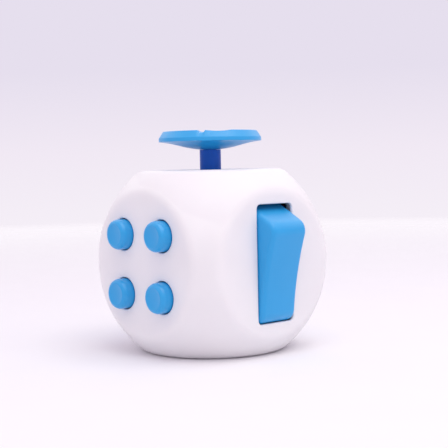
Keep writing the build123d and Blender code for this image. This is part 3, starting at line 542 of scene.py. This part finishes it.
def roller_and_ball_cutters():
    """The rollers' curved pocket and the ball's socket, each with a soft lip."""
    low, high = span("roller_2")
    radius = (high.z - low.z) / 2 + ROLLER_GAP
    centre = BACK.inverted() @ ((low + high) / 2)
    # The pocket is a drum along the face's x axis.
    half = ROLLER_SLOT / 2
    drum = lathe([(0, -half), (radius, -half), (radius, half), (0, half)])
    place = BACK @ Matrix.Translation(centre) @ Matrix.Rotation(math.pi / 2, 4, "Y")
    pocket = solid("roller_pocket", drum, place)
    mouth_length = 2 * math.sqrt(radius**2 - centre.z**2)
    flare = slot_cutter(ROLLER_SLOT, mouth_length, POCKET_CORNER, 2 * LIP)
    flare = solid("roller_flare", flare, BACK @ Matrix.Translation((centre.x, centre.y, 0)))
    ball_low, ball_high = span("roll_ball")
    ball_radius = (ball_high.z - ball_low.z) / 2 + BALL_GAP
    ball_centre = BACK.inverted() @ ((ball_low + ball_high) / 2)
    turns = [math.pi * step / BALL_STEPS for step in range(1, BALL_STEPS)]
    meridian = [(ball_radius * math.sin(turn), ball_radius * math.cos(turn)) for turn in turns]
    ball = lathe([(0, ball_radius), *meridian, (0, -ball_radius)])
    socket = solid("ball_socket", ball, BACK @ Matrix.Translation(ball_centre))
    mouth_radius = math.sqrt(ball_radius**2 - ball_centre.z**2)
    rim = lathe([
        (0, SKY_GAP),
        (mouth_radius + LIP, SKY_GAP),
        (mouth_radius + LIP, CROSS),
        (mouth_radius + RIM_BREAK * LIP, -RIM_BREAK * LIP),
        (mouth_radius, -LIP),
        (0, -LIP),
    ])
    rim = solid("ball_rim", rim, on_face(BACK, "roll_ball"))
    waist = ball_centre.z
    throat = lathe([(0, waist), (ball_radius, waist), (ball_radius, -CUT_DEPTH), (0, -CUT_DEPTH)])
    throat = solid("ball_throat", throat, on_face(BACK, "roll_ball"))
    return [pocket, flare, socket, rim, throat]


# ---------------- Buttons ----------------

BUTTON_RADIUS = 2.68
BUTTON_CROWN = 1.95        # radius of the dished top
BUTTON_DISH = 0.22
BUTTON_DISHED = (0, 0.3, 0.6, 0.85)  # shares of the crown's radius along the dish
BUTTON_EDGE_IN = 0.25      # the shoulder's middle, in from the side
BUTTON_EDGE_DOWN = 0.22    # and down from the crown
BUTTON_SHOULDER = 0.75     # from the crown down to the side
BUTTON_BENDS = (0.25, 0.5, 0.6)      # radii from the crown's edge to the side
BUTTON_FLANGE_TOP = -1.85
BUTTON_POCKET = 1.75
BUTTON_POCKET_TOP = -0.2


def buttons():
    """Four caps with a dished crown, a round shoulder and a hidden flange."""
    for number in range(1, 5):
        node = f"button_cap_{number}"
        low, high = span(node)
        bottom, top = depth_on(FRONT, node)
        flange = (high.x - low.x) / 2
        crown = [(BUTTON_CROWN * share, top - BUTTON_DISH * (1 - share**2)) for share in BUTTON_DISHED]
        side = bend([
            (*crown[-1], 0),
            (BUTTON_CROWN, top + CROSS, BUTTON_BENDS[0]),
            (BUTTON_RADIUS - BUTTON_EDGE_IN, top - BUTTON_EDGE_DOWN, BUTTON_BENDS[1]),
            (BUTTON_RADIUS, top - BUTTON_SHOULDER, BUTTON_BENDS[2]),
            (BUTTON_RADIUS, BUTTON_FLANGE_TOP, 0),
        ])
        inside = [
            (flange, BUTTON_FLANGE_TOP),
            (flange, bottom),
            (BUTTON_POCKET, bottom),
            (BUTTON_POCKET, BUTTON_POCKET_TOP),
            (0, BUTTON_POCKET_TOP),
        ]
        cap = solid(f"button_top_{number}", lathe(crown + side[1:] + inside), on_face(FRONT, node))
        settle(cap, [node], f"button_{number}", "blue_plastic")


# ---------------- Rocker ----------------

ROCKER_TILT = math.radians(12.2)
ROCKER_MIDDLE = 8.0        # axle to the middle of the top
ROCKER_FOOT = 10.8         # half length at the skirt's edge
ROCKER_CORNER = 8.7        # half length of the top, its corners left sharp
ROCKER_SAG = 0.64
ROCKER_SKIRT = 1.5
ROCKER_CORNER_ROUND = 2.3
ROCKER_EDGE_ROUND = 0.85
ROCKER_HUB = 2.0
ROCKER_EDGE_STEPS = 7


def rocker_outline(inset):
    """The paddle's side view, drawn in evenly by an inset: x along it, y out from the axle."""
    hollow = (ROCKER_CORNER**2 + ROCKER_SAG**2) / (2 * ROCKER_SAG)
    hollow_middle = Vector((0, ROCKER_MIDDLE + hollow))
    foot = Vector((ROCKER_FOOT, ROCKER_SKIRT))
    rise = (Vector((ROCKER_CORNER, ROCKER_MIDDLE + ROCKER_SAG)) - foot).normalized()
    outward = Vector((rise.y, -rise.x))
    # The corner's arc touches the straight end inside and the hollow top's arc outside.
    base = foot - outward * ROCKER_CORNER_ROUND
    away = hollow_middle - base
    along_end = away.dot(rise)
    aside = away.dot(outward)
    corner = base + rise * (along_end - math.sqrt((hollow + ROCKER_CORNER_ROUND) ** 2 - aside**2))
    end_turn = math.atan2(outward.y, outward.x)
    top_turn = math.atan2(hollow_middle.y - corner.y, -corner.x)
    low = foot - outward * inset
    low += rise * (inset / rise.y)
    high = corner + outward * (ROCKER_CORNER_ROUND - inset)
    half = [low.lerp(high, step / 12) for step in range(13)]
    half += arc(corner, ROCKER_CORNER_ROUND - inset, end_turn, top_turn, 14)[1:]
    lean = top_turn - math.pi
    half += arc(hollow_middle, hollow + inset, lean, -math.pi / 2, 20)[1:]
    return half + [Vector((-point.x, point.y)) for point in half[-2::-1]]


def rocker():
    """The paddle, with soft edges along both sides and its hub underneath."""
    low, high = span("rocker_paddle")
    half_width = (high.y - low.y) / 2
    shape = bmesh.new()
    rings = []
    for side in (-1, 1):
        for step in range(ROCKER_EDGE_STEPS + 1)[::-side]:
            turn = step / ROCKER_EDGE_STEPS * math.pi / 2
            inset = ROCKER_EDGE_ROUND * (1 - math.sin(turn))
            across = side * (half_width - ROCKER_EDGE_ROUND * (1 - math.cos(turn)))
            outline = rocker_outline(inset)
            rings.append([shape.verts.new((point.x, point.y, across)) for point in outline])
    skin(shape, rings, capped=True)
    hub = [(0, -half_width), (ROCKER_HUB, -half_width), (ROCKER_HUB, half_width), (0, half_width)]
    join(shape, lathe(hub))
    along = Vector((math.sin(ROCKER_TILT), 0, math.cos(ROCKER_TILT)))
    outward = Vector((math.cos(ROCKER_TILT), 0, -math.sin(ROCKER_TILT)))
    turn = Matrix((along, outward, along.cross(outward))).transposed().to_4x4()
    paddle = solid("rocker_body", shape, Matrix.Translation(pivot("rocker_tilt")) @ turn)
    settle(paddle, ["rocker_paddle"], "rocker", "blue_plastic")


# ---------------- Thumb disc ----------------

HUB_RADIUS = 1.95
HUB_BORE = 1.25
HUB_THICKNESS = 1.25
DISC_RISE = 1.47           # of the underside, hub to rim
DISC_SWELL = 0.062         # how far the underside bows, as a share of its rise
RIM_FOOT = 2.1             # hub's underside to the foot of the rim's slope
RIM_LEAN = 0.8
LAND = 1.0                 # width of the flat on the rim
LAND_FALL = 0.3            # from the land down to the start of the dish
LAND_RUN = 1.0
RIM_BENDS = (0.08, 0.35, 0.25, 0.6)  # radii from the rim's foot to the dish
DISC_DISH = 0.8
RECESS_RADIUS = 2.6
NOTCH_START = -52.0
NOTCH_RADIUS = 0.65
NOTCH_DEPTH = 0.55
NOTCH_BLEND = 0.07         # rounding of the notch's edges
NOTCH_RUN_OUT = (6.2, 7.4)
SCALLOP_START = -32.0
SCALLOP_RADIUS = 14.0
SCALLOP_DEPTH = 0.2
SCALLOP_BLEND = 0.05
CUT_REACH = 1.2            # below the rim's top, beyond which the cuts don't go
NEARLY = 0.999             # share of a cut's radius that is worked out
RUN_OUT_RISE = 0.5         # how steeply a cut runs out towards the middle
UNDERSIDE_STEPS = 24
DISH_STEPS = 12
DISC_TURN = 540            # segments round the disc


def softer(first, second, blend):
    """The lower of two heights, with a rounded crossing."""
    share = max(0.0, min(1.0, 0.5 + (second - first) / (2 * blend)))
    return second + (first - second) * share - blend * share * (1 - share)


def disc():
    """The saucer, with three notches and three shallow scallops across its rim."""
    low, high = span("thumb_disc")
    radius, bottom, top = (high.x - low.x) / 2, low.z, high.z
    reach = radius - HUB_RADIUS

    def warp(out, up, angle):
        """Lowers the rim where a notch or a scallop crosses it."""
        for third in range(3):
            for start, cut, depth, blend in (
                (NOTCH_START, NOTCH_RADIUS, NOTCH_DEPTH, NOTCH_BLEND),
                (SCALLOP_START, SCALLOP_RADIUS, SCALLOP_DEPTH, SCALLOP_BLEND),
            ):
                away = angle - math.radians(start + 120 * third)
                aside = out * math.sin(away)
                if math.cos(away) < 0 or abs(aside) > cut * NEARLY or up < top - CUT_REACH:
                    continue
                floor = top - depth + cut - math.sqrt(cut**2 - aside**2)
                run = (NOTCH_RUN_OUT[1] - out) / (NOTCH_RUN_OUT[1] - NOTCH_RUN_OUT[0])
                floor += max(0.0, run) * RUN_OUT_RISE
                up = softer(up, floor, blend)
        return out, up

    underside = []
    for step in range(UNDERSIDE_STEPS):
        share = step / UNDERSIDE_STEPS
        bow = share - DISC_SWELL * math.sin(2 * math.pi * share)
        underside.append((HUB_RADIUS + reach * share, bottom + DISC_RISE * bow))
    rim_top = radius - RIM_LEAN
    rim = bend([
        (*underside[-1], 0),
        (radius, bottom + DISC_RISE, RIM_BENDS[0]),
        (radius, bottom + RIM_FOOT, RIM_BENDS[1]),
        (rim_top, top, RIM_BENDS[2]),
        (rim_top - LAND, top, RIM_BENDS[3]),
        (rim_top - LAND - LAND_RUN, top - LAND_FALL, 0),
    ])
    slope = [rim[-2].lerp(rim[-1], share) for share in (0.25, 0.5, 0.75)]
    start, end = rim[-1], Vector((RECESS_RADIUS, top - DISC_DISH))
    dish = []
    for step in range(1, DISH_STEPS + 1):
        share = step / DISH_STEPS
        height = end.y + (start.y - end.y) * (1 - share) ** 2
        dish.append((start.x + (end.x - start.x) * share, height))
    hub_top = bottom + HUB_THICKNESS
    hub = [(RECESS_RADIUS, hub_top), (HUB_BORE, hub_top), (HUB_BORE, bottom)]
    profile = [*underside, *rim[1:-1], *slope, start, *dish, *hub]
    saucer = solid("disc_saucer", lathe(profile, DISC_TURN, looped=True, warp=warp), Matrix.Identity(4))
    settle(saucer, ["thumb_disc"], "disc", "blue_plastic")


# ---------------- Dial ----------------

DIAL_GROOVES = 30
DIAL_GROOVE = 0.3
DIAL_DISH = 0.35
DIAL_BEVEL = 0.4
DIAL_SHAFT = 1.5
DIAL_UNDER = -1.75
DIAL_RIM = 0.9
DIAL_RADIUS = 7.0
DIAL_PEG = 1.6
DIAL_PEG_UP = 4.2
DIAL_CROWN = 6.0           # radius of the dished top
DIAL_DISHED = (0, 0.2, 0.4, 0.6, 0.8, 0.95)  # shares of that radius along the dish
DIAL_TURN = 720            # segments round the dial
PEG_TURN = 64
PEG_FOOT = 0.6             # how far the peg's fillet spreads, and how deep the peg starts
PEG_SINK = 0.22            # of the fillet's middle, below the rim's top
PEG_DRAFT = 0.05
PEG_DIMPLE = 0.04          # hollow in the peg's end
PEG_END = 0.4              # share of the peg's radius where the hollow starts
PEG_BENDS = (0.35, 0.6)    # radii at the peg's foot and at its end
DIAL_BENDS = (0.5, 0.35)   # radii either side of the bevel
DIAL_BEVEL_IN = 0.1
GROOVE_SHARPNESS = 1.7
GROOVE_CURVE = 0.8
GROOVE_START = 0.8         # in from the rim
GROOVE_RUN = 0.4


def dial():
    """A dished wheel with a finely grooved rim and an off-centre finger peg."""
    bottom, peg_top = depth_on(LEFT, "spin_dial")

    def warp(out, up, angle):
        """Grooves round the rim."""
        wave = abs(math.cos(angle * DIAL_GROOVES / 2))
        cut = DIAL_GROOVE * max(0.0, 1 - wave * GROOVE_SHARPNESS) ** GROOVE_CURVE
        near = max(0.0, min(1.0, (out - (DIAL_RADIUS - GROOVE_START)) / GROOVE_RUN))
        return out - cut * near, up

    crown = [(DIAL_CROWN * share, DIAL_RIM - DIAL_DISH * (1 - share**2)) for share in DIAL_DISHED]
    edge = bend([
        (*crown[-1], 0),
        (DIAL_RADIUS - DIAL_BEVEL - DIAL_BEVEL_IN, DIAL_RIM, DIAL_BENDS[0]),
        (DIAL_RADIUS, DIAL_RIM - DIAL_BEVEL, DIAL_BENDS[1]),
        (DIAL_RADIUS, DIAL_UNDER, 0),
    ])
    shaft = [(DIAL_SHAFT, DIAL_UNDER), (DIAL_SHAFT, bottom), (0, bottom)]
    wheel = lathe(crown + edge[1:] + shaft, DIAL_TURN, warp=warp)
    peg_path = bend([
        (DIAL_PEG + PEG_FOOT, DIAL_RIM - PEG_FOOT / 2, 0),
        (DIAL_PEG, DIAL_RIM - PEG_SINK, PEG_BENDS[0]),
        (DIAL_PEG - PEG_DRAFT, peg_top, PEG_BENDS[1]),
        (DIAL_PEG * PEG_END, peg_top, 0),
    ])
    foot = [(0, DIAL_RIM - PEG_FOOT), (DIAL_PEG + PEG_FOOT, DIAL_RIM - PEG_FOOT)]
    peg = lathe([*foot, *peg_path, (0, peg_top - PEG_DIMPLE)], PEG_TURN)
    bmesh.ops.translate(peg, verts=peg.verts, vec=(0, DIAL_PEG_UP, 0))
    join(wheel, peg)
    piece = solid("dial_wheel", wheel, on_face(LEFT, "dial_washer"))
    settle(piece, ["spin_dial"], "dial", "blue_plastic")


# ---------------- Rollers ----------------

ROLLER_RADIUS = 3.8
ROLLER_RIBS = 16
ROLLER_GROOVE = 0.33
ROLLER_EDGE = 0.3
ROLLER_TURN = 384          # segments round a roller
RIB_GAIN = 1.5             # steepness of the ribs' sides
RIB_FLAT = 0.25            # taken off the wave, so that each rib keeps its crest
RIB_DEEPENING = 4          # power by which the grooves deepen towards the rim


def rollers():
    """Three drums with soft-edged ribs."""
    for number in (1, 2, 3):
        node = f"roller_{number}"
        low, high = span(node)
        half_width = (high.x - low.x) / 2

        def warp(out, up, angle):
            """Ribs along the drum."""
            near_groove = (1 + math.cos(angle * ROLLER_RIBS)) / 2
            cut = ROLLER_GROOVE * min(1.0, max(0.0, near_groove * RIB_GAIN - RIB_FLAT))
            return out - cut * (out / ROLLER_RADIUS) ** RIB_DEEPENING, up

        profile = bend([
            (0, -half_width, 0),
            (ROLLER_RADIUS, -half_width, ROLLER_EDGE),
            (ROLLER_RADIUS, half_width, ROLLER_EDGE),
            (0, half_width, 0),
        ])
        drum = lathe(profile, ROLLER_TURN, warp=warp)
        place = Matrix.Translation((low + high) / 2) @ Matrix.Rotation(math.pi / 2, 4, "Y")
        piece = solid(f"roller_drum_{number}", drum, place)
        slot = next(r["material_slot"] for r in frame["record"]["subparts"] if r["node"] == node)
        settle(piece, [node], f"roller_{number}", slot)


shell()
buttons()
rocker()
disc()
dial()
rollers()

# ---------------- Stage ----------------

FLOOR_RADIUS = 3.0
FLOOR_SEGMENTS = 96
FLOOR_FADE = (0.1, 0.45)   # distances over which the paper fades into the wall
PAPER_ROUGHNESS = 0.8
PAPER_SHEEN = 0.2
PAPER_DRIFT = 0.99         # darkest share of the paper's colour
ROOM = (0.705, 0.62, 0.745, 1.0)
WALL_LOW = -0.2            # sines of the lowest and highest directions in the gradient
WALL_HIGH = 0.7
WALL_COLOURS = (
    (-0.13, linear(248, 243, 249)),
    (-0.058, linear(245, 239, 247)),
    (0.011, linear(241, 233, 244)),
    (0.0855, linear(230, 223, 238)),
    (0.25, linear(230, 223, 238)),
    (0.5, (1.7, 1.68, 1.62, 1.0)),
)


def backdrop():
    """A pale sheet of paper that fades into the wall behind it."""
    mesh = bpy.data.meshes.new("floor")
    shape = bmesh.new()
    bmesh.ops.create_circle(shape, cap_ends=True, segments=FLOOR_SEGMENTS, radius=FLOOR_RADIUS)
    shape.to_mesh(mesh)
    shape.free()
    floor = bpy.data.objects.new("floor", mesh)
    bpy.context.scene.collection.objects.link(floor)
    look = Look("floor")
    look.set(Roughness=PAPER_ROUGHNESS, Specular_IOR_Level=PAPER_SHEEN)
    paper = look.noise(PAPER_CELLS, detail=3.0)
    look.drive("Base Color", look.mix(look.spread(paper, 0, 1), scaled(PAPER, PAPER_DRIFT), PAPER))
    # Clear towards the far edge.
    length = look.nodes.new("ShaderNodeVectorMath")
    length.operation = "LENGTH"
    look.links.new(look.place, length.inputs[0])
    start, end = FLOOR_FADE
    look.drive("Alpha", look.spread(length.outputs["Value"], 1.0, 0.0, start=start, end=end))
    dress(floor, look.material)


def sky():
    """A pale lavender wall that darkens a little with height, and the dimmer room that lights the cube."""
    world = bpy.data.worlds.new("studio")
    bpy.context.scene.world = world
    world.use_nodes = True
    nodes, links = world.node_tree.nodes, world.node_tree.links
    place = nodes.new("ShaderNodeTexCoord")
    split = nodes.new("ShaderNodeSeparateXYZ")
    ramp = nodes.new("ShaderNodeValToRGB")
    links.new(place.outputs["Generated"], split.inputs[0])
    level = nodes.new("ShaderNodeMapRange")
    level.inputs["From Min"].default_value = WALL_LOW
    level.inputs["From Max"].default_value = WALL_HIGH
    links.new(split.outputs["Z"], level.inputs["Value"])
    links.new(level.outputs["Result"], ramp.inputs["Fac"])
    ramp.color_ramp.elements.remove(ramp.color_ramp.elements[1])
    for number, (height, colour) in enumerate(WALL_COLOURS):
        position = (height - WALL_LOW) / (WALL_HIGH - WALL_LOW)
        if number:
            stop = ramp.color_ramp.elements.new(position)
        else:
            stop = ramp.color_ramp.elements[0]
            stop.position = position
        stop.color = colour
    room = nodes.new("ShaderNodeBackground")
    room.inputs["Color"].default_value = ROOM
    which = nodes.new("ShaderNodeMixShader")
    ray = nodes.new("ShaderNodeLightPath")
    links.new(ramp.outputs["Color"], nodes["Background"].inputs["Color"])
    links.new(ray.outputs["Is Diffuse Ray"], which.inputs["Fac"])
    links.new(nodes["Background"].outputs["Background"], which.inputs[1])
    links.new(room.outputs["Background"], which.inputs[2])
    links.new(which.outputs["Shader"], nodes["World Output"].inputs["Surface"])


KEY_PLACE = (0.158, 0.0, 0.42)
KEY_WIDTH = 0.4
KEY_POWER = 0.96           # watts
KEY_COLOUR = (1.0, 1.0, 0.93)


def soft_light(name, place, width, power, colour):
    """A square soft box aimed at the middle of the cube."""
    data = bpy.data.lights.new(name, "AREA")
    data.size = width
    data.energy = power
    data.color = colour
    lamp = bpy.data.objects.new(name, data)
    lamp.location = place
    lamp.rotation_euler = (CENTRE * MM - Vector(place)).to_track_quat("-Z", "Y").to_euler()
    bpy.context.scene.collection.objects.link(lamp)


# The camera's aim and place about the cube's middle: degrees, millimetres and metres.
AIM_TURN = 47.46
AIM_DIP = 3.28
AIM_ROLL = -1.14
STAND_OFF = 199.5
SHIFT_ACROSS = 2.147
SHIFT_UP = 6.385
SENSOR = 36.0
LENS = 86.368
CLIP_NEAR = 0.01
CLIP_FAR = 50.0


def camera():
    """Looks along +Y and -X at the edge between the buttons and the rocker, a little from above."""
    turn, dip, roll = (math.radians(angle) for angle in (AIM_TURN, AIM_DIP, AIM_ROLL))
    ahead = Vector((-math.sin(turn) * math.cos(dip), math.cos(turn) * math.cos(dip), -math.sin(dip)))
    level = Vector((math.cos(turn), math.sin(turn), 0))
    upright = level.cross(ahead)
    across = level * math.cos(roll) + upright * math.sin(roll)
    up = upright * math.cos(roll) - level * math.sin(roll)
    place = (CENTRE - ahead * STAND_OFF + across * SHIFT_ACROSS + up * SHIFT_UP) * MM
    data = bpy.data.cameras.new("camera")
    data.sensor_width = SENSOR
    data.lens = LENS
    data.clip_start = CLIP_NEAR
    data.clip_end = CLIP_FAR
    eye = bpy.data.objects.new("camera", data)
    eye.matrix_world = Matrix((
        (across.x, up.x, -ahead.x, place.x),
        (across.y, up.y, -ahead.y, place.y),
        (across.z, up.z, -ahead.z, place.z),
        (0, 0, 0, 1),
    ))
    bpy.context.scene.collection.objects.link(eye)
    bpy.context.scene.camera = eye


backdrop()
sky()
soft_light("key_box", KEY_PLACE, KEY_WIDTH, KEY_POWER, KEY_COLOUR)
camera()
bpy.context.scene.view_settings.view_transform = "Standard"
